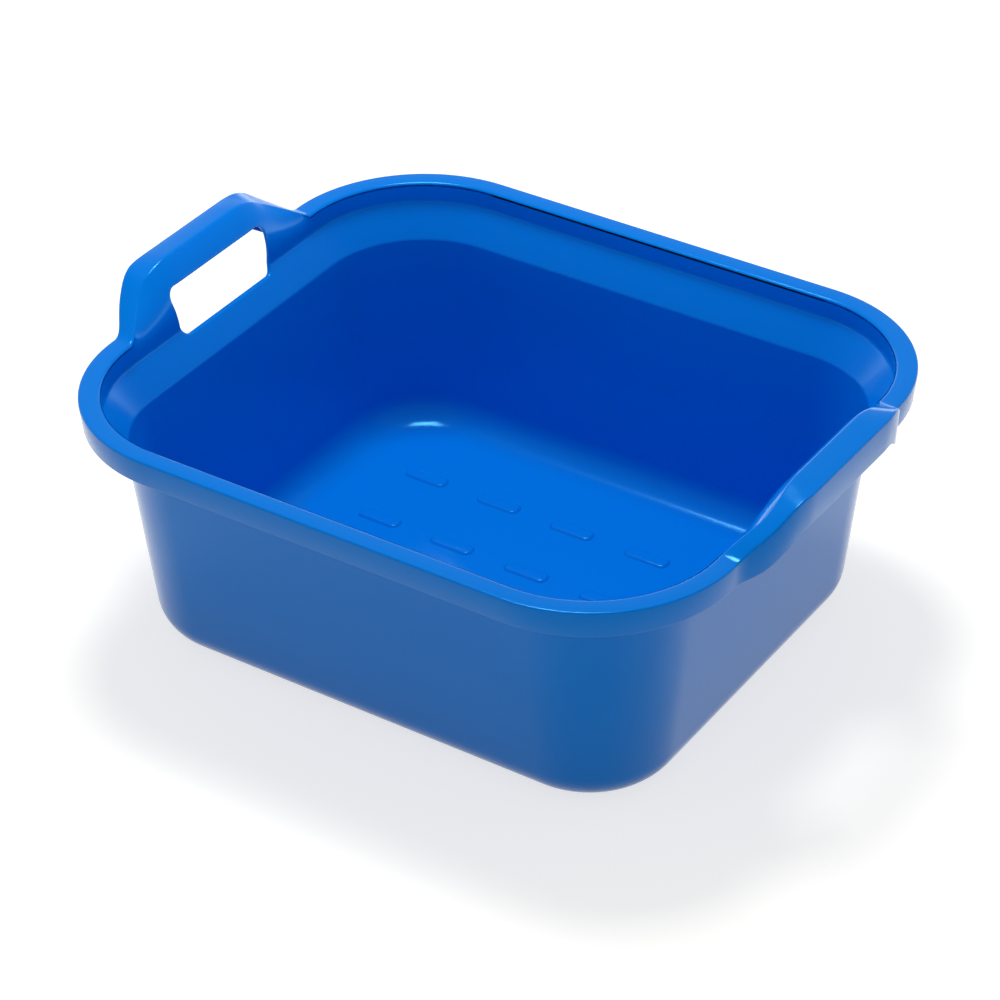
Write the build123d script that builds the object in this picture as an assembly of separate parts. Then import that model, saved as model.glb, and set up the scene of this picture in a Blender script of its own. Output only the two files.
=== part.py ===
from build123d import *
from math import atan2, cos, hypot, radians, sin, sqrt, tan
import os

# Washing up bowl: one thin moulding with a skirted rim and a raised carry handle at each short end.
# X runs along the bowl, Y across it, Z up from the surface that the bowl stands on.

# Rim
rim_length = 390.0
rim_width = 340.0
rim_corner_radius = 85.0
rim_height = 150.0
rim_flange_width = 12.0
rim_skirt_depth = 15.5
rim_skirt_draft = 1.5

# Walls and floor
wall_thickness = 2.2
wall_draft = 6.2
base_edge_radius = 21.0
floor_rise = 1.8
foot_ring_width = 4.0

# Flare that opens the walls out to an upright band under the rim
flare_bottom_drop = 30.0
flare_top_drop = 15.0
flare_width = 13.0

# Raised pads on the floor, and the mark left by the moulding gate
pad_columns = 5
pad_rows = 4
pad_pitch_along = 50.0
pad_pitch_across = 48.0
pad_length = 28.0
pad_width = 10.0
pad_height = 1.2
pad_corner_cut = 3.5
pad_side_slope = 50.0
gate_mark_radius = 3.0
gate_mark_height = 0.5

# Carry handle: the end wall curls outwards and the rim climbs over it as an arch.
# Its top edge and its lip each have a rise above the plain rim and a reach out from it.
# Slopes and slot lengths are for an arch of this half length, and stretch with the straight of the end.
arch_half_length = 84.0
arch_foot_margin = 1.0
curl_start_drop = 10.0
edge_rise = 25.2
edge_rise_slope = 31.7
edge_rise_foot_radius = 8.0
edge_rise_corner_radius = 45.0
edge_reach = 15.0
edge_reach_slope = 30.0
edge_reach_foot_radius = 6.0
edge_reach_corner_radius = 30.0
lip_rise = 22.8
lip_rise_slope = 39.0
lip_rise_foot_radius = 11.0
lip_rise_corner_radius = 20.0
lip_reach = 17.5
lip_reach_slope = 36.0
lip_reach_foot_radius = 15.0
lip_reach_corner_radius = 57.0
hem_rise = 18.5
hem_rise_slope = 35.0
hem_rise_foot_radius = 35.0
hem_rise_corner_radius = 16.0
handle_stretches = 3
sections_per_stretch = 4

# Grip slot through the curled wall below the bar
slot_bottom_drop = 16.6
slot_top_rise = 12.0
slot_bottom_length = 80.0
slot_top_length = 88.0
slot_corner_radius = 6.0

# Sizes that follow from the ones above
half = 0.5
twice = 2
seam_tolerance = 0.001
rim_half_length = rim_length * half
rim_half_width = rim_width * half
straight_half_length = rim_half_length - rim_corner_radius
straight_half_width = rim_half_width - rim_corner_radius
floor_top = wall_thickness + floor_rise
flare_bottom = rim_height - flare_bottom_drop
flare_top = rim_height - flare_top_drop
inner_rim_reach = rim_corner_radius - rim_flange_width
inner_flare_reach = inner_rim_reach - flare_width
inner_base_reach = inner_flare_reach - (flare_bottom - wall_thickness) * tan(radians(wall_draft))
arch_foot = straight_half_width - arch_foot_margin
arch_stretch = arch_foot / arch_half_length


def cavity_profile():
    """Half section of the space inside the walls, measured out from the centre of a rim corner."""
    base_corner = (inner_base_reach, wall_thickness)
    outline = Polyline(
        (0, wall_thickness),
        base_corner,
        (inner_flare_reach, flare_bottom),
        (inner_rim_reach, flare_top),
        (inner_rim_reach, rim_height),
        (0, rim_height),
        close=True,
    )
    face = make_face(outline)
    corner = face.vertices().sort_by_distance(base_corner)[0]
    return fillet(corner, base_edge_radius - wall_thickness)


def box_profile(reach, low, high):
    """Upright rectangle from a corner's centre out to a reach."""
    return make_face(Polyline((0, low), (reach, low), (reach, high), (0, high), close=True))


def moulding_profile():
    """Half section of the plain bowl: floor, wall, flare, flange and skirt."""
    cavity = cavity_profile()
    room = box_profile(rim_corner_radius, 0, rim_height)
    walls = offset(cavity, wall_thickness, kind=Kind.INTERSECTION) & room
    hem = rim_height - rim_skirt_depth
    skirt = Polyline(
        (inner_rim_reach, rim_height),
        (rim_corner_radius, rim_height),
        (rim_corner_radius - rim_skirt_draft, hem),
        (rim_corner_radius - rim_skirt_draft - wall_thickness, hem),
        (rim_corner_radius - wall_thickness, rim_height - wall_thickness),
        (inner_rim_reach, rim_height - wall_thickness),
        close=True,
    )
    hollow = cavity - box_profile(rim_corner_radius, 0, floor_top)
    recess_reach = inner_base_reach + wall_thickness - base_edge_radius - foot_ring_width
    return walls + make_face(skirt) - hollow - box_profile(recess_reach, 0, floor_rise)


def plain_quarter():
    """A quarter of the bowl without its handles: a turned corner, half an end, half a side, floor."""
    profile = moulding_profile()
    upright = Plane.XZ * profile
    corner = revolve(upright, Axis.Z, 90)
    end = extrude(upright, straight_half_width)
    side = extrude(Plane.YZ * profile, -straight_half_length)
    swept = Pos(straight_half_length, straight_half_width, 0) * (corner + end + side)
    middle = Box(straight_half_length, straight_half_width, floor_top - floor_rise, align=Align.MIN)
    return swept + Pos(0, 0, floor_rise) * middle


def climb_run(height, slope, foot_radius, corner_radius):
    """How far along the rim a climb takes: foot arc, straight slope and corner arc together."""
    bends = foot_radius + corner_radius
    return bends * tan(radians(slope) * half) + height / tan(radians(slope))


def climb(run, height, slope, foot_radius, corner_radius):
    """Height reached at a run along a climb of foot arc, straight slope and corner arc."""
    angle = radians(slope)
    foot_end = foot_radius * sin(angle)
    left = climb_run(height, slope, foot_radius, corner_radius) - run
    if run < foot_end:
        return foot_radius - sqrt(foot_radius**2 - max(0, run) ** 2)
    if left > corner_radius * sin(angle):
        return foot_radius * (1 - cos(angle)) + (run - foot_end) * tan(angle)
    return height - corner_radius + sqrt(corner_radius**2 - max(0, left) ** 2)


def mitre(one, other):
    """Step in from a corner to the point one wall thickness away from both faces that meet there."""
    scale = wall_thickness / (1 + one[0] * other[0] + one[1] * other[1])
    return (one[0] + other[0]) * scale, (one[1] + other[1]) * scale


def curled_line(start, end):
    """Wall line that leaves its start upright and bends over to its end."""
    across, up = end.X - start.X, end.Z - start.Z
    pull = start + Vector(0, 0, (across**2 + up**2) / (up + up))
    return Bezier(start, pull, end)


def handle_section(along):
    """The closed profile of curled wall, rim flange and skirt at a distance along the rim."""
    run = (arch_foot - along) / arch_stretch
    edge = (
        climb(run, edge_reach, edge_reach_slope, edge_reach_foot_radius, edge_reach_corner_radius)
        - rim_flange_width,
        climb(run, edge_rise, edge_rise_slope, edge_rise_foot_radius, edge_rise_corner_radius),
    )
    lip = (
        climb(run, lip_reach, lip_reach_slope, lip_reach_foot_radius, lip_reach_corner_radius),
        climb(run, lip_rise, lip_rise_slope, lip_rise_foot_radius, lip_rise_corner_radius),
    )
    hem = climb(run, hem_rise, hem_rise_slope, hem_rise_foot_radius, hem_rise_corner_radius)
    hem_outer = (lip[0] - rim_skirt_draft, hem - rim_skirt_depth)
    hem_inner = (hem_outer[0] - wall_thickness, hem_outer[1])

    flange = hypot(lip[0] - edge[0], lip[1] - edge[1])
    under_flange = ((lip[1] - edge[1]) / flange, (edge[0] - lip[0]) / flange)
    wall_start = (-rim_flange_width, -curl_start_drop)
    lean = twice * atan2(edge[0] - wall_start[0], edge[1] - wall_start[1])
    wall_step = mitre((cos(lean), -sin(lean)), under_flange)
    skirt_step = mitre((-1, 0), under_flange)
    outer_start = (wall_start[0] + wall_thickness, wall_start[1])
    outer_edge = (edge[0] + wall_step[0], edge[1] + wall_step[1])
    bend = (lip[0] + skirt_step[0], lip[1] + skirt_step[1])

    def spot(point):
        return Vector(rim_half_length + point[0], along, rim_height + point[1])

    outline = [
        curled_line(spot(wall_start), spot(edge)),
        Polyline(spot(edge), spot(lip), spot(hem_outer), spot(hem_inner), spot(bend), spot(outer_edge)),
        curled_line(spot(outer_start), spot(outer_edge)),
        Line(spot(outer_start), spot(wall_start)),
    ]
    return make_face([piece for line in outline for piece in line.edges()])


def handle_half():
    """Half of the raised handle at the +X end: half the straight bar, then the climb down to the rim."""
    run = climb_run(edge_rise, edge_rise_slope, edge_rise_foot_radius, edge_rise_corner_radius)
    bar_end = arch_foot - run * arch_stretch
    half_handle = extrude(handle_section(0), bar_end, dir=(0, 1, 0))
    stretch = (arch_foot - bar_end) / handle_stretches
    for number in range(handle_stretches):
        start = bar_end + stretch * number
        step = stretch / (sections_per_stretch - 1)
        sections = [handle_section(start + step * count) for count in range(sections_per_stretch)]
        half_handle = half_handle.fuse(loft(sections), tol=seam_tolerance)
    return half_handle


def handle_gap():
    """Space cut out of the plain rim where the handle takes its place."""
    low_edge = Pos(rim_half_length, 0, rim_height)
    align = (Align.CENTER, Align.MIN, Align.MAX)
    wall_part = Box(rim_corner_radius, arch_foot, curl_start_drop, align=align)
    skirt_part = Box(rim_flange_width, arch_foot, rim_skirt_depth, align=align)
    return low_edge * (wall_part + skirt_part)


def grip_slot():
    """The round-cornered hole through the curled wall, between the rim's line and the bar."""
    low = rim_height - slot_bottom_drop
    high = rim_height + slot_top_rise
    low_end = slot_bottom_length * arch_stretch * half
    high_end = slot_top_length * arch_stretch * half
    corners = (-low_end, low), (low_end, low), (high_end, high), (-high_end, high)
    hole = make_face(Polyline(*corners, close=True))
    hole = fillet(hole.vertices(), slot_corner_radius)
    start = rim_half_length - rim_flange_width - wall_thickness
    return extrude(Plane.YZ.offset(start) * hole, rim_flange_width + wall_thickness)


def floor_pads():
    """Low pads with sloping sides, in rows over the floor."""
    outline = Rectangle(pad_length, pad_width)
    pad = extrude(chamfer(outline.vertices(), pad_corner_cut), pad_height, taper=pad_side_slope)
    places = GridLocations(pad_pitch_along, pad_pitch_across, pad_columns, pad_rows)
    return [Pos(0, 0, floor_top) * place * pad for place in places]


def bowl():
    """The whole moulding."""
    quarter = (plain_quarter() - handle_gap()).fuse(handle_half(), tol=seam_tolerance) - grip_slot()
    half_bowl = quarter + mirror(quarter, about=Plane.XZ)
    body = half_bowl + mirror(half_bowl, about=Plane.YZ)
    gate_mark = Cylinder(gate_mark_radius, gate_mark_height, align=(Align.CENTER, Align.CENTER, Align.MIN))
    return body + floor_pads() + Pos(0, 0, floor_top) * gate_mark


def main():
    os.makedirs("parts", exist_ok=True)
    export_step(bowl(), "parts/bowl.step")


if __name__ == "__main__":
    main()
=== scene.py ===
from math import acos, atan2, cos, hypot, pi, radians, sin, sqrt, tan

import bmesh
import bpy
import numpy as np
from mathutils import Matrix, Vector

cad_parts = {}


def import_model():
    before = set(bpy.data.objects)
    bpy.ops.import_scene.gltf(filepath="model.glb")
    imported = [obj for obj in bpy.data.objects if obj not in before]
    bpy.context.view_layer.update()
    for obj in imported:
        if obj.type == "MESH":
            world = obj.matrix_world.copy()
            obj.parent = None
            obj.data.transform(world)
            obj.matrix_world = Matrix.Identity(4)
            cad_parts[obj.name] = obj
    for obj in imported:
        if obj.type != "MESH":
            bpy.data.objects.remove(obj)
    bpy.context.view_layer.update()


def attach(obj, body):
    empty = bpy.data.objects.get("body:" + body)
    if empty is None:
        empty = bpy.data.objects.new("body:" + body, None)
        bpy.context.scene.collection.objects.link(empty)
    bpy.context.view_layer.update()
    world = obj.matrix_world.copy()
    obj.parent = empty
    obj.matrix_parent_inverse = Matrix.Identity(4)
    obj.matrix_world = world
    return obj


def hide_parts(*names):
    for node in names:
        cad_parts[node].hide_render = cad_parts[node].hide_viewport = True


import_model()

# Sizes of the moulding in millimetres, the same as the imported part's but for the flare's top, 3 mm higher
MM = 0.001
RIM_HALF_LENGTH = 195.0
RIM_HALF_WIDTH = 170.0
RIM_CORNER_RADIUS = 85.0
RIM_HEIGHT = 150.0
FLANGE_WIDTH = 12.0
SKIRT_DEPTH = 15.5
SKIRT_DRAFT = 1.5
WALL = 2.2
WALL_DRAFT = radians(6.2)
BASE_RADIUS = 21.0
FLOOR_TOP = 4.0
RECESS_TOP = 1.8
FOOT_RING_WIDTH = 4.0
FLARE_BOTTOM = 120.0
FLARE_TOP = 138.0
FLARE_WIDTH = 13.0
MIDDLE_REACH = 16.0

# Handle climbs: height, slope, foot radius and corner radius of each
ARCH_FOOT_MARGIN = 1.0
ARCH_FOOT = RIM_HALF_WIDTH - RIM_CORNER_RADIUS - ARCH_FOOT_MARGIN
CURL_START_DROP = 10.0
EDGE_RISE = (25.2, radians(31.7), 8.0, 45.0)
EDGE_REACH = (15.0, radians(30.0), 6.0, 30.0)
LIP_RISE = (22.8, radians(39.0), 11.0, 20.0)
LIP_REACH = (17.5, radians(36.0), 15.0, 57.0)
HEM_RISE = (18.5, radians(35.0), 35.0, 16.0)

# Roundings of the mould that the plain part leaves sharp
CREASE_RADIUS = 4.0
BAND_RADIUS = 5.5
EDGE_RADIUS = 2.2
LIP_RADIUS = 1.0
HEM_RADIUS = 0.8
SLOT_EDGE_RADIUS = 0.9

# Grip slot, and how far along the end the mesh is laid in rings round it
SLOT_LOW = RIM_HEIGHT - 16.6
SLOT_HIGH = RIM_HEIGHT + 12.0
SLOT_LOW_REACH = 40.0
SLOT_HIGH_REACH = 44.0
SLOT_CORNER_RADIUS = 6.0
SLOT_FRAME_REACH = 51.0

# Floor pads and gate mark
PAD_COLUMNS = 5
PAD_ROWS = 4
PAD_PITCH = (50.0, 48.0)
PAD_SIZE = (28.0, 10.0)
PAD_CORNER = 4.0
PAD_HEIGHT = 1.2
GATE_RADIUS = 3.0
GATE_HEIGHT = 0.5

# How the sides of pads and gate mark round over, as insets and heights from the floor
PAD_LEVELS = ((0, -0.1), (0.15, 0.12), (1.0, 0.85), (1.45, 1.12), (2.1, PAD_HEIGHT))
GATE_LEVELS = ((0, -0.1), (0.1, 0.1), (0.5, 0.4), (1.0, GATE_HEIGHT))

# How fine the mesh is
STATION_STEP = 1.4
CORNER_STEPS = 28
SIDE_STEPS = 8
BASE_STEPS = 10
CREASE_STEPS = 4
BAND_STEPS = 6
CURL_STEPS = 10
EDGE_STEPS = 4
LIP_STEPS = 5
HEM_STEPS = 3
BEND_STEPS = 2
SLOT_RINGS = 8
SLOT_EDGE_STEPS = 4
SLOT_RING_CROWDING = 1.3
ARC_STEPS = 12
STRAIGHT_ENOUGH = 0.01

# First and last section points of the wall faces that the slot goes through, inside and outside
INSIDE_LOW = BASE_STEPS + CREASE_STEPS + 2
INSIDE_HIGH = INSIDE_LOW + BAND_STEPS + CURL_STEPS + 1
OUTSIDE_HIGH = INSIDE_HIGH + EDGE_STEPS + LIP_STEPS + 2 * HEM_STEPS + 2 * BEND_STEPS + 7
OUTSIDE_LOW = OUTSIDE_HIGH + BAND_STEPS + CURL_STEPS + 1

# Plastic
PLASTIC_COLOUR = (0.0, 0.19, 0.74, 1)
PLASTIC_ROUGHNESS = 0.16
PLASTIC_IOR = 1.5
PLASTIC_TINT = (0.08, 0.6, 1.0, 1)

# Ground and surroundings
WHITE = (1, 1, 1, 1)
GROUND_COLOUR = (0.5, 0.49, 0.45, 1)
GROUND_GLOW = 0.7
GROUND_REACH = 4.0
GROUND_DROP = 0.0003
HORIZON_LIGHT = 2.6
SKY_LIGHT = 0.3
SKY_START = 0.2

# Lamp, in metres and watts
KEY_PLACE = (-0.3, 0.29, 1.5)
KEY_AIM = (0, 0, 0.05)
KEY_SIZE = 0.42
KEY_POWER = 16

# Camera, worked out from the rim's outline in the photo
CAMERA_TURN = radians(33.762)
CAMERA_RISE = radians(34.689)
CAMERA_ROLL = radians(-0.846)
CAMERA_DISTANCE = 1.889
CAMERA_SHIFT = (-0.000232, 0.067848)
CAMERA_LENS = 127.73
CAMERA_SENSOR = 36.0


def unit(vector):
    return vector / np.linalg.norm(vector)


def rounded(corners):
    """Polyline through (across, up, radius, steps) corners, with an arc at each inner corner."""
    spots = [np.array(corner[:2], float) for corner in corners]
    line = [spots[0]]
    for number in range(1, len(corners) - 1):
        radius, steps = corners[number][2:]
        here = spots[number]
        back = unit(spots[number - 1] - here)
        ahead = unit(spots[number + 1] - here)
        turn = acos(max(-1.0, min(1.0, float(back @ ahead))))
        if not steps or pi - turn < STRAIGHT_ENOUGH:
            line += [here] * max(1, steps + 1)
            continue
        reach = radius / tan(turn / 2)
        centre = here + unit(back + ahead) * (radius / sin(turn / 2))
        start, end = here + back * reach - centre, here + ahead * reach - centre
        sweep = pi - turn
        for step in range(steps + 1):
            part = step / steps
            line.append(centre + (start * sin((1 - part) * sweep) + end * sin(part * sweep)) / sin(sweep))
    line.append(spots[-1])
    return line


def climb(run, shape):
    """Height reached at a run along a climb of foot arc, straight slope and corner arc."""
    height, slope, foot, corner = shape
    length = (foot + corner) * tan(slope / 2) + height / tan(slope)
    left = length - run
    if run < foot * sin(slope):
        return foot - sqrt(foot**2 - max(0.0, run) ** 2)
    if left > corner * sin(slope):
        return foot * (1 - cos(slope)) + (run - foot * sin(slope)) * tan(slope)
    return height - corner + sqrt(corner**2 - max(0.0, left) ** 2)


def mitred(point, one, other):
    """The point one wall thickness in from both faces that meet at a corner."""
    scale = WALL / (1 + one[0] * other[0] + one[1] * other[1])
    return point[0] + (one[0] + other[0]) * scale, point[1] + (one[1] + other[1]) * scale


def curl(start, end):
    """Points of the wall line that leaves its start upright and bends over to its end."""
    across, up = end[0] - start[0], end[1] - start[1]
    pull = (start[0], start[1] + (across**2 + up**2) / (2 * up))
    points = []
    for step in range(CURL_STEPS):
        t = step / CURL_STEPS
        points.append(tuple(
            (1 - t) ** 2 * start[k] + 2 * t * (1 - t) * pull[k] + t**2 * end[k] for k in (0, 1)
        ))
    return points


def section(along):
    """Closed section at a distance along an end wall, as reach from a rim corner's centre and height."""
    run = ARCH_FOOT - along
    rim_reach = RIM_CORNER_RADIUS
    edge = (rim_reach - FLANGE_WIDTH + climb(run, EDGE_REACH), RIM_HEIGHT + climb(run, EDGE_RISE))
    lip = (rim_reach + climb(run, LIP_REACH), RIM_HEIGHT + climb(run, LIP_RISE))
    hem = RIM_HEIGHT - SKIRT_DEPTH + climb(run, HEM_RISE)
    hem_outer = (lip[0] - SKIRT_DRAFT, hem)
    hem_inner = (hem_outer[0] - WALL, hem)
    width = hypot(lip[0] - edge[0], lip[1] - edge[1])
    under = ((lip[1] - edge[1]) / width, (edge[0] - lip[0]) / width)
    start = (rim_reach - FLANGE_WIDTH, RIM_HEIGHT - CURL_START_DROP)
    outer_start = (start[0] + WALL, start[1])
    lean = 2 * atan2(edge[0] - start[0], edge[1] - start[1])
    outer_edge = mitred(edge, (cos(lean), -sin(lean)), under)
    bend = mitred(lip, (-1.0, 0.0), under)

    flare_low = (start[0] - FLARE_WIDTH, FLARE_BOTTOM)
    flare_high = (start[0], FLARE_TOP)
    slope = unit(np.array(flare_high) - np.array(flare_low))
    wall_out = (cos(WALL_DRAFT), -sin(WALL_DRAFT))
    flare_out = (slope[1], -slope[0])
    outer_low = mitred(flare_low, wall_out, flare_out)
    outer_high = mitred(flare_high, flare_out, (1.0, 0.0))
    inner_base = flare_low[0] - (FLARE_BOTTOM - FLOOR_TOP) * tan(WALL_DRAFT)
    outer_base = flare_low[0] - FLARE_BOTTOM * tan(WALL_DRAFT) + WALL / cos(WALL_DRAFT)
    ring_reach = outer_base - BASE_RADIUS - FOOT_RING_WIDTH

    inside = [(MIDDLE_REACH, FLOOR_TOP, 0, 0)]
    inside += [(inner_base, FLOOR_TOP, BASE_RADIUS - WALL, BASE_STEPS)]
    inside += [(*flare_low, CREASE_RADIUS, CREASE_STEPS), (*flare_high, BAND_RADIUS, BAND_STEPS)]
    inside += [(*point, 0, 0) for point in curl(start, edge)]
    top = [(*edge, EDGE_RADIUS, EDGE_STEPS), (*lip, LIP_RADIUS, LIP_STEPS)]
    top += [(*hem_outer, HEM_RADIUS, HEM_STEPS), (*hem_inner, HEM_RADIUS, HEM_STEPS)]
    top += [(*bend, HEM_RADIUS, BEND_STEPS), (*outer_edge, HEM_RADIUS, BEND_STEPS)]
    outside = [(*point, 0, 0) for point in reversed(curl(outer_start, outer_edge))]
    outside += [(*outer_high, BAND_RADIUS + WALL, BAND_STEPS)]
    outside += [(*outer_low, CREASE_RADIUS - WALL, CREASE_STEPS)]
    outside += [(outer_base, 0.0, BASE_RADIUS, BASE_STEPS)]
    outside += [(ring_reach, 0.0, HEM_RADIUS, BEND_STEPS), (ring_reach, RECESS_TOP, HEM_RADIUS, BEND_STEPS)]
    outside += [(MIDDLE_REACH, RECESS_TOP, 0, 0)]
    return np.array(rounded(inside + top + outside))


def stations():
    """Stops all round the rim: corner centre, outward direction and place along an end wall or None."""
    straight_x = RIM_HALF_LENGTH - RIM_CORNER_RADIUS
    straight_y = RIM_HALF_WIDTH - RIM_CORNER_RADIUS
    end_places = np.linspace(-straight_y, straight_y, 2 * round(straight_y / STATION_STEP) + 1)
    side_places = np.linspace(-straight_x, straight_x, SIDE_STEPS + 1)
    turns = np.linspace(0, pi / 2, CORNER_STEPS + 1)[1:-1]
    loop = []
    for sign in (1, -1):
        first_corner = (sign * straight_x, sign * straight_y)
        second_corner = (-sign * straight_x, sign * straight_y)
        loop += [((sign * straight_x, sign * y), (sign, 0), y) for y in end_places]
        loop += [(first_corner, (sign * cos(a), sign * sin(a)), None) for a in turns]
        loop += [((-sign * x, sign * straight_y), (0, sign), None) for x in side_places]
        loop += [(second_corner, (-sign * sin(a), sign * cos(a)), None) for a in turns]
    return loop


def slot_outline(long_steps, short_steps):
    """Round-cornered outline of the slot as (along, height), each side cut into its number of steps."""
    low = [(-SLOT_LOW_REACH, SLOT_LOW), (SLOT_LOW_REACH, SLOT_LOW)]
    high = [(SLOT_HIGH_REACH, SLOT_HIGH), (-SLOT_HIGH_REACH, SLOT_HIGH)]
    corners = low + high
    arcs = []
    for number, here in enumerate(corners):
        before, after = corners[number - 1], corners[(number + 1) % len(corners)]
        bend = [(*before, 0, 0), (*here, SLOT_CORNER_RADIUS, 2 * ARC_STEPS), (*after, 0, 0)]
        arcs.append(rounded(bend)[1:-1])
    outline = []
    for number in range(len(corners)):
        side = np.array(arcs[number][ARC_STEPS:] + arcs[(number + 1) % len(corners)][: ARC_STEPS + 1])
        steps = short_steps if number % 2 else long_steps
        length = np.concatenate([[0], np.cumsum(np.linalg.norm(np.diff(side, axis=0), axis=1))])
        wanted = np.linspace(0, length[-1], steps + 1)[:-1]
        outline += [np.array([np.interp(w, length, side[:, k]) for k in (0, 1)]) for w in wanted]
    return np.array(outline)


def wall_reach(along, height, low, high):
    """Reach of the wall face between two section points, at a place along the end and a height."""
    face = section(abs(along))[min(low, high): max(low, high) + 1]
    order = np.argsort(face[:, 1])
    return np.interp(height, face[order, 1], face[order, 0])


class Shell:
    """Points and faces of one mesh in millimetres."""

    def __init__(self):
        self.points = []
        self.faces = []

    def add(self, points):
        first = len(self.points)
        self.points += [tuple(point) for point in points]
        return list(range(first, len(self.points)))

    def join(self, ring, other):
        """Quads between two closed rings of the same count."""
        count = len(ring)
        for k in range(count):
            after = (k + 1) % count
            self.faces.append((ring[k], ring[after], other[after], other[k]))


def slot_walls(shell, grid, loop, first, last):
    """Wall faces round one grip slot, laid in rings from the grid's hole to the rounded slot edge."""
    columns = list(range(first, last + 1))
    inside_rows = list(range(INSIDE_LOW, INSIDE_HIGH + 1))
    outside_rows = list(range(OUTSIDE_LOW, OUTSIDE_HIGH - 1, -1))
    outline = slot_outline(len(columns) - 1, len(inside_rows) - 1)
    tangent = np.roll(outline, -1, axis=0) - np.roll(outline, 1, axis=0)
    normal = np.stack([tangent[:, 1], -tangent[:, 0]], axis=1)
    normal /= np.linalg.norm(normal, axis=1)[:, None]
    wide = outline + normal * SLOT_EDGE_RADIUS
    (centre_x, _), (out, _), _ = loop[first]

    def place(spots, low, high):
        """Points as reach, place along the end and height."""
        return np.array([(wall_reach(u, z, low, high), u, z) for u, z in spots])

    def world(spots):
        return [(centre_x + out * r, out * u, z) for r, u, z in spots]

    rings = []
    for rows in (inside_rows, outside_rows):
        spots = [(c, rows[0]) for c in columns] + [(last, r) for r in rows[1:]]
        spots += [(c, rows[-1]) for c in columns[-2::-1]] + [(first, r) for r in rows[-2:0:-1]]
        ring = [grid[c][r] for c, r in spots]
        flat = np.array([(loop[c][2], shell.points[grid[c][r]][2]) for c, r in spots])
        side = [ring]
        for step in range(1, SLOT_RINGS + 1):
            part = 1 - (1 - step / SLOT_RINGS) ** SLOT_RING_CROWDING
            between = flat * (1 - part) + wide * part
            side.append(shell.add(world(place(between, rows[0], rows[-1]))))
        rings.append(side)
    inner = place(outline, INSIDE_LOW, INSIDE_HIGH)
    outer = place(outline, OUTSIDE_LOW, OUTSIDE_HIGH)
    inner_wide = place(wide, INSIDE_LOW, INSIDE_HIGH)
    outer_wide = place(wide, OUTSIDE_LOW, OUTSIDE_HIGH)
    through = outer - inner
    through /= np.linalg.norm(through, axis=1)[:, None]
    edge = []
    for start, corner, way in ((inner_wide, inner, through), (outer_wide, outer, -through)):
        end = corner + way * SLOT_EDGE_RADIUS
        parts = [step / SLOT_EDGE_STEPS for step in range(1, SLOT_EDGE_STEPS + 1)]
        arcs = [start * (1 - t) ** 2 + corner * 2 * t * (1 - t) + end * t**2 for t in parts]
        edge.append([shell.add(world(arc)) for arc in arcs])
    chain = rings[0] + edge[0] + edge[1][::-1] + rings[1][::-1]
    for ring, other in zip(chain, chain[1:]):
        shell.join(ring, other)


def body_shell():
    """The whole moulding: its section laid at every stop round the rim, slots and middle closed."""
    loop = stations()
    sections = {}
    shell = Shell()
    grid = []
    for (x, y), (out_x, out_y), along in loop:
        key = RIM_HALF_WIDTH if along is None else round(abs(along), 6)
        if key not in sections:
            sections[key] = section(key)
        grid.append(shell.add((x + out_x * r, y + out_y * r, z) for r, z in sections[key]))
    count, rows = len(loop), len(grid[0])
    slots = []
    for out in (1, -1):
        end = [k for k, stop in enumerate(loop) if stop[2] is not None and stop[1][0] == out]
        near = [k for k in end if abs(loop[k][2]) <= SLOT_FRAME_REACH]
        slots.append((near[0], near[-1]))
    for k in range(count):
        after = (k + 1) % count
        in_slot = any(low <= k < high for low, high in slots)
        for row in range(rows - 1):
            if in_slot and (INSIDE_LOW <= row < INSIDE_HIGH or OUTSIDE_HIGH <= row < OUTSIDE_LOW):
                continue
            shell.faces.append((grid[k][row], grid[after][row], grid[after][row + 1], grid[k][row + 1]))
    for first, last in slots:
        slot_walls(shell, grid, loop, first, last)
    shell.faces.append([column[0] for column in grid])
    shell.faces.append([column[-1] for column in reversed(grid)])
    return shell


def raised_mark(shell, centre, half_size, corner, levels):
    """A low mound on the floor: rounded rectangles of (inset, height) levels, closed on top."""
    rings = []
    for inset, height in levels:
        ring = []
        for turn, (sx, sy) in enumerate(((1, 1), (-1, 1), (-1, -1), (1, -1))):
            for step in range(ARC_STEPS + 1):
                angle = (turn + step / ARC_STEPS) * pi / 2
                radius = corner - inset
                ring.append((
                    centre[0] + sx * (half_size[0] - corner) + radius * cos(angle),
                    centre[1] + sy * (half_size[1] - corner) + radius * sin(angle),
                    FLOOR_TOP + height,
                ))
        rings.append(shell.add(ring))
    for ring, other in zip(rings, rings[1:]):
        shell.join(ring, other)
    shell.faces.append(rings[-1])


def floor_marks(shell):
    """Pads in rows over the floor, and the gate mark at its middle."""
    for column in range(PAD_COLUMNS):
        for row in range(PAD_ROWS):
            centre = (
                (column - (PAD_COLUMNS - 1) / 2) * PAD_PITCH[0],
                (row - (PAD_ROWS - 1) / 2) * PAD_PITCH[1],
            )
            raised_mark(shell, centre, (PAD_SIZE[0] / 2, PAD_SIZE[1] / 2), PAD_CORNER, PAD_LEVELS)
    raised_mark(shell, (0, 0), (GATE_RADIUS, GATE_RADIUS), GATE_RADIUS, GATE_LEVELS)


def mesh_object(name, shell, material):
    """A smooth mesh object from a shell, its faces turned outwards."""
    mesh = bpy.data.meshes.new(name)
    mesh.from_pydata([tuple(MM * v for v in point) for point in shell.points], [], shell.faces)
    work = bmesh.new()
    work.from_mesh(mesh)
    bmesh.ops.recalc_face_normals(work, faces=work.faces)
    work.to_mesh(mesh)
    work.free()
    for face in mesh.polygons:
        face.use_smooth = True
    mesh.materials.append(material)
    thing = bpy.data.objects.new(name, mesh)
    bpy.context.scene.collection.objects.link(thing)
    return thing


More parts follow.
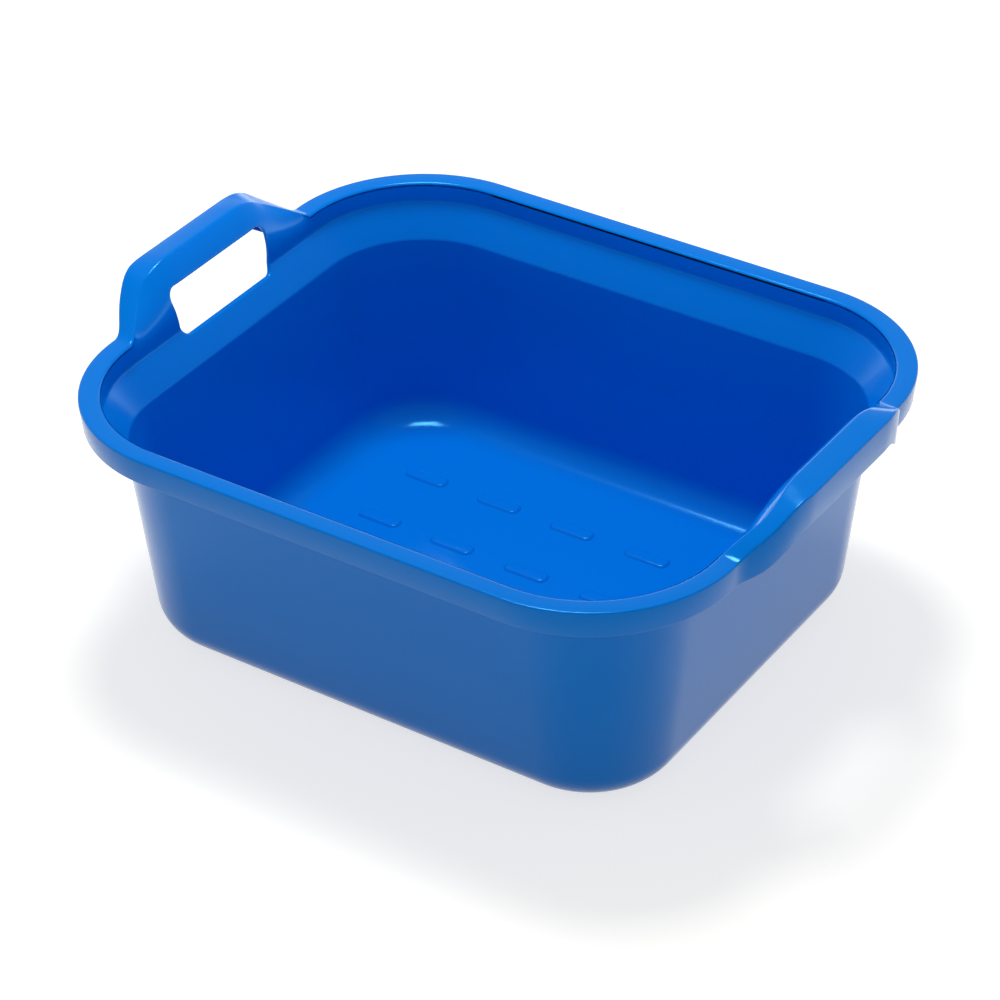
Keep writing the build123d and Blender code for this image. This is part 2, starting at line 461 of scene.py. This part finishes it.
def plastic():
    """Glossy blue plastic."""
    material = bpy.data.materials.new("blue_plastic")
    material.use_nodes = True
    shader = material.node_tree.nodes["Principled BSDF"]
    shader.inputs["Base Color"].default_value = PLASTIC_COLOUR
    shader.inputs["Roughness"].default_value = PLASTIC_ROUGHNESS
    shader.inputs["IOR"].default_value = PLASTIC_IOR
    shader.inputs["Specular Tint"].default_value = PLASTIC_TINT
    return material


def seen_rays(nodes, links):
    """Output that is 1 for camera, glossy and transmission rays."""
    path = nodes.new("ShaderNodeLightPath")
    total = path.outputs["Is Camera Ray"]
    for name in ("Is Glossy Ray", "Is Transmission Ray"):
        either = nodes.new("ShaderNodeMath")
        either.operation = "MAXIMUM"
        links.new(total, either.inputs[0])
        links.new(path.outputs[name], either.inputs[1])
        total = either.outputs[0]
    return total


def white_ground():
    """White floor that also glows to the camera and in reflections, and stays white round the shadow."""
    material = bpy.data.materials.new("white_ground")
    material.use_nodes = True
    nodes, links = material.node_tree.nodes, material.node_tree.links
    nodes.clear()
    paint = nodes.new("ShaderNodeBsdfDiffuse")
    paint.inputs["Color"].default_value = GROUND_COLOUR
    glow = nodes.new("ShaderNodeEmission")
    glow.inputs["Color"].default_value = WHITE
    level = nodes.new("ShaderNodeMath")
    level.operation = "MULTIPLY"
    level.inputs[1].default_value = GROUND_GLOW
    both = nodes.new("ShaderNodeAddShader")
    output = nodes.new("ShaderNodeOutputMaterial")
    links.new(seen_rays(nodes, links), level.inputs[0])
    links.new(level.outputs[0], glow.inputs["Strength"])
    links.new(paint.outputs[0], both.inputs[0])
    links.new(glow.outputs[0], both.inputs[1])
    links.new(both.outputs[0], output.inputs["Surface"])
    return material


def ground():
    """A wide flat floor just under the bowl."""
    mesh = bpy.data.meshes.new("ground")
    corners = [(x * GROUND_REACH, y * GROUND_REACH, 0) for x, y in ((-1, -1), (1, -1), (1, 1), (-1, 1))]
    mesh.from_pydata(corners, [], [tuple(range(len(corners)))])
    mesh.materials.append(white_ground())
    floor = bpy.data.objects.new("ground", mesh)
    floor.location.z = -GROUND_DROP
    bpy.context.scene.collection.objects.link(floor)


def surroundings():
    """White to the camera, and to everything else a light that is strongest near the horizon."""
    world = bpy.data.worlds.new("studio")
    bpy.context.scene.world = world
    world.use_nodes = True
    nodes, links = world.node_tree.nodes, world.node_tree.links
    nodes.clear()
    light = nodes.new("ShaderNodeBackground")
    light.inputs["Color"].default_value = WHITE
    place = nodes.new("ShaderNodeTexCoord")
    parts = nodes.new("ShaderNodeSeparateXYZ")
    fade = nodes.new("ShaderNodeMapRange")
    fade.inputs["From Min"].default_value = 0
    fade.inputs["From Max"].default_value = SKY_START
    fade.inputs["To Min"].default_value = HORIZON_LIGHT
    fade.inputs["To Max"].default_value = SKY_LIGHT
    links.new(place.outputs["Generated"], parts.inputs[0])
    links.new(parts.outputs["Z"], fade.inputs["Value"])
    links.new(fade.outputs[0], light.inputs["Strength"])
    white = nodes.new("ShaderNodeBackground")
    white.inputs["Color"].default_value = WHITE
    white.inputs["Strength"].default_value = 1
    seen = nodes.new("ShaderNodeLightPath")
    mix = nodes.new("ShaderNodeMixShader")
    output = nodes.new("ShaderNodeOutputWorld")
    links.new(seen.outputs["Is Camera Ray"], mix.inputs[0])
    links.new(light.outputs[0], mix.inputs[1])
    links.new(white.outputs[0], mix.inputs[2])
    links.new(mix.outputs[0], output.inputs["Surface"])


def lamp():
    """A soft lamp nearly overhead, a little behind the bowl."""
    data = bpy.data.lights.new("key", "AREA")
    data.shape = "SQUARE"
    data.size = KEY_SIZE
    data.energy = KEY_POWER
    key = bpy.data.objects.new("key", data)
    bpy.context.scene.collection.objects.link(key)
    key.location = KEY_PLACE
    way = Vector(KEY_AIM) - Vector(KEY_PLACE)
    key.rotation_euler = way.to_track_quat("-Z", "Y").to_euler()


def camera():
    """The photo's own view."""
    a, e, r = CAMERA_TURN, CAMERA_RISE, CAMERA_ROLL
    back = Vector((sin(a) * cos(e), -cos(a) * cos(e), sin(e)))
    right = Vector((cos(a), sin(a), 0))
    up = back.cross(right)
    right, up = right * cos(r) + up * sin(r), up * cos(r) - right * sin(r)
    data = bpy.data.cameras.new("photo")
    data.lens = CAMERA_LENS
    data.sensor_width = CAMERA_SENSOR
    eye = bpy.data.objects.new("photo", data)
    bpy.context.scene.collection.objects.link(eye)
    eye.rotation_euler = Matrix((right, up, back)).transposed().to_euler()
    eye.location = back * CAMERA_DISTANCE - right * CAMERA_SHIFT[0] - up * CAMERA_SHIFT[1]
    eye.location.z += RIM_HEIGHT * MM
    bpy.context.scene.camera = eye


body = body_shell()
floor_marks(body)
bowl = mesh_object("washing_up_bowl", body, plastic())
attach(bowl, "root")
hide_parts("bowl")

ground()
surroundings()
lamp()
camera()
bpy.context.scene.view_settings.view_transform = "Standard"
